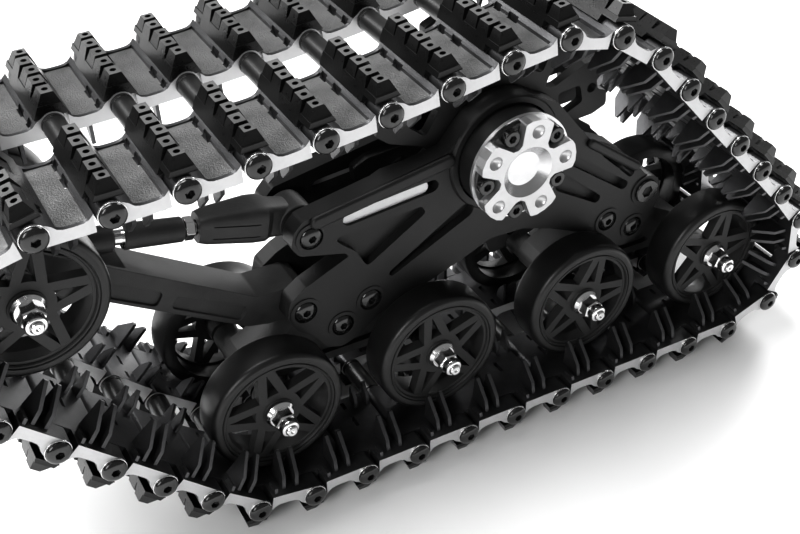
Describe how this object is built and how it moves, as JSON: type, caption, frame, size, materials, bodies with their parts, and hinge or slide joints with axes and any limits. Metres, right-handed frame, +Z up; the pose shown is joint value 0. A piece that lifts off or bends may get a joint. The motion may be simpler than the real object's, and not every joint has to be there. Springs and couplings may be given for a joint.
{
  "type": "tracked tank chassis",
  "caption": "Triangular crawler track unit for a robot chassis: linked metal belt round road wheels on rockers, a tensioned idler and a driven sprocket with a star hub cap.",
  "frame": {"origin": "on the ground under the middle of the unit", "axes": "+X along the ground run towards the rear road wheel, +Y across the belt from the hub-cap side to the drive side, +Z up"},
  "size_m": [0.2654, 0.0712, 0.1323],
  "materials": {
    "link_aluminium": "dark anodised extrusion with bright cut ends",
    "wheel_moulding": "satin black moulding with a smooth tyre face",
    "frame_nylon": "black glass-filled nylon, fine grain",
    "sprocket_nylon": "black glass-filled nylon",
    "hub_cap_aluminium": "bright machined aluminium",
    "fastener_steel": "zinc-plated steel",
    "rocker_nylon": "black glass-filled nylon",
    "rod_nylon": "black nylon"
  },
  "bodies": {
    "chassis": {"frame_near": "frame_nylon", "frame_far": "frame_nylon", "rear_standoff": "fastener_steel", "link_01": "link_aluminium", "link_02": "link_aluminium", "link_03": "link_aluminium", "link_04": "link_aluminium", "link_05": "link_aluminium", "link_06": "link_aluminium", "link_07": "link_aluminium", "link_08": "link_aluminium", "link_09": "link_aluminium", "link_10": "link_aluminium", "link_11": "link_aluminium", "link_12": "link_aluminium", "link_13": "link_aluminium", "link_14": "link_aluminium", "link_15": "link_aluminium", "link_16": "link_aluminium", "link_17": "link_aluminium", "link_18": "link_aluminium", "link_19": "link_aluminium", "link_20": "link_aluminium", "link_21": "link_aluminium", "link_22": "link_aluminium", "link_23": "link_aluminium", "link_24": "link_aluminium", "link_25": "link_aluminium", "link_26": "link_aluminium", "link_27": "link_aluminium", "link_28": "link_aluminium", "link_29": "link_aluminium", "link_30": "link_aluminium", "link_31": "link_aluminium", "link_32": "link_aluminium", "link_33": "link_aluminium", "link_34": "link_aluminium", "link_35": "link_aluminium", "link_36": "link_aluminium", "link_37": "link_aluminium", "link_38": "link_aluminium"},
    "drive": {"sprocket": "sprocket_nylon", "hub_cap": "hub_cap_aluminium"},
    "rocker_front": {"rocker_front": "rocker_nylon"},
    "rocker_rear": {"rocker_rear": "rocker_nylon"},
    "idler_arm": {"idler_arm": "frame_nylon", "idler_axle": "fastener_steel"},
    "tension_rod": {"tension_rod_end": "rod_nylon"},
    "tension_sleeve": {"tension_sleeve": "rod_nylon", "tension_stud": "fastener_steel"},
    "road_wheel_near_1": {"road_wheel_near_1": "wheel_moulding"},
    "road_wheel_near_2": {"road_wheel_near_2": "wheel_moulding"},
    "road_wheel_near_3": {"road_wheel_near_3": "wheel_moulding"},
    "road_wheel_near_4": {"road_wheel_near_4": "wheel_moulding"},
    "road_wheel_far_1": {"road_wheel_far_1": "wheel_moulding"},
    "road_wheel_far_2": {"road_wheel_far_2": "wheel_moulding"},
    "road_wheel_far_3": {"road_wheel_far_3": "wheel_moulding"},
    "road_wheel_far_4": {"road_wheel_far_4": "wheel_moulding"},
    "idler_wheel_near": {"idler_wheel_near": "wheel_moulding"},
    "idler_wheel_far": {"idler_wheel_far": "wheel_moulding"}
  },
  "joints": [
    {"name": "drive_spin", "type": "hinge", "parent": "chassis", "child": "drive", "pos_m": [0.02697, 0, 0.0822], "axis": [0, 1, 0], "continuous": true},
    {"name": "rocker_front_swing", "type": "hinge", "parent": "chassis", "child": "rocker_front", "pos_m": [-0.02183, 0, 0.0424], "axis": [0, 1, 0], "range_deg": [-0.8, 0.8]},
    {"name": "rocker_rear_swing", "type": "hinge", "parent": "chassis", "child": "rocker_rear", "pos_m": [0.07577, 0, 0.0424], "axis": [0, 1, 0], "range_deg": [-0.8, 0.8]},
    {"name": "idler_arm_swing", "type": "hinge", "parent": "chassis", "child": "idler_arm", "pos_m": [-0.03253, 0, 0.0508], "axis": [0, 1, 0], "range_deg": [-0.4, 0.8]},
    {"name": "tensioner_swing", "type": "hinge", "parent": "chassis", "child": "tension_rod", "pos_m": [-0.03013, 0, 0.0737], "axis": [0, 1, 0], "range_deg": [-1, 1.5]},
    {"name": "tensioner_slide", "type": "slide", "parent": "tension_rod", "child": "tension_sleeve", "axis": [-0.9838, 0, 0.179], "range_m": [-0.0008, 0.0008]},
    {"name": "road_wheel_near_1_spin", "type": "hinge", "parent": "rocker_front", "child": "road_wheel_near_1", "pos_m": [-0.04623, 0, 0.0305], "axis": [0, 1, 0], "continuous": true},
    {"name": "road_wheel_near_2_spin", "type": "hinge", "parent": "rocker_front", "child": "road_wheel_near_2", "pos_m": [0.00257, 0, 0.0305], "axis": [0, 1, 0], "continuous": true},
    {"name": "road_wheel_near_3_spin", "type": "hinge", "parent": "rocker_rear", "child": "road_wheel_near_3", "pos_m": [0.05137, 0, 0.0305], "axis": [0, 1, 0], "continuous": true},
    {"name": "road_wheel_near_4_spin", "type": "hinge", "parent": "rocker_rear", "child": "road_wheel_near_4", "pos_m": [0.10017, 0, 0.0305], "axis": [0, 1, 0], "continuous": true},
    {"name": "road_wheel_far_1_spin", "type": "hinge", "parent": "rocker_front", "child": "road_wheel_far_1", "pos_m": [-0.04623, 0, 0.0305], "axis": [0, 1, 0], "continuous": true},
    {"name": "road_wheel_far_2_spin", "type": "hinge", "parent": "rocker_front", "child": "road_wheel_far_2", "pos_m": [0.00257, 0, 0.0305], "axis": [0, 1, 0], "continuous": true},
    {"name": "road_wheel_far_3_spin", "type": "hinge", "parent": "rocker_rear", "child": "road_wheel_far_3", "pos_m": [0.05137, 0, 0.0305], "axis": [0, 1, 0], "continuous": true},
    {"name": "road_wheel_far_4_spin", "type": "hinge", "parent": "rocker_rear", "child": "road_wheel_far_4", "pos_m": [0.10017, 0, 0.0305], "axis": [0, 1, 0], "continuous": true},
    {"name": "idler_wheel_near_spin", "type": "hinge", "parent": "idler_arm", "child": "idler_wheel_near", "pos_m": [-0.10212, 0, 0.0868], "axis": [0, 1, 0], "continuous": true},
    {"name": "idler_wheel_far_spin", "type": "hinge", "parent": "idler_arm", "child": "idler_wheel_far", "pos_m": [-0.10212, 0, 0.0868], "axis": [0, 1, 0], "continuous": true}
  ],
  "couplings": [
    {"joint": "tensioner_swing", "follows": "idler_arm_swing", "ratio": 1.0238},
    {"joint": "tensioner_slide", "follows": "idler_arm_swing", "m_per_rad": -0.02296},
    {"joint": "road_wheel_near_1_spin", "follows": "drive_spin", "ratio": 2.1905},
    {"joint": "road_wheel_near_2_spin", "follows": "drive_spin", "ratio": 2.1905},
    {"joint": "road_wheel_near_3_spin", "follows": "drive_spin", "ratio": 2.1905},
    {"joint": "road_wheel_near_4_spin", "follows": "drive_spin", "ratio": 2.1905},
    {"joint": "road_wheel_far_1_spin", "follows": "drive_spin", "ratio": 2.1905},
    {"joint": "road_wheel_far_2_spin", "follows": "drive_spin", "ratio": 2.1905},
    {"joint": "road_wheel_far_3_spin", "follows": "drive_spin", "ratio": 2.1905},
    {"joint": "road_wheel_far_4_spin", "follows": "drive_spin", "ratio": 2.1905},
    {"joint": "idler_wheel_near_spin", "follows": "drive_spin", "ratio": 2.1905},
    {"joint": "idler_wheel_far_spin", "follows": "drive_spin", "ratio": 2.1905}
  ]
}
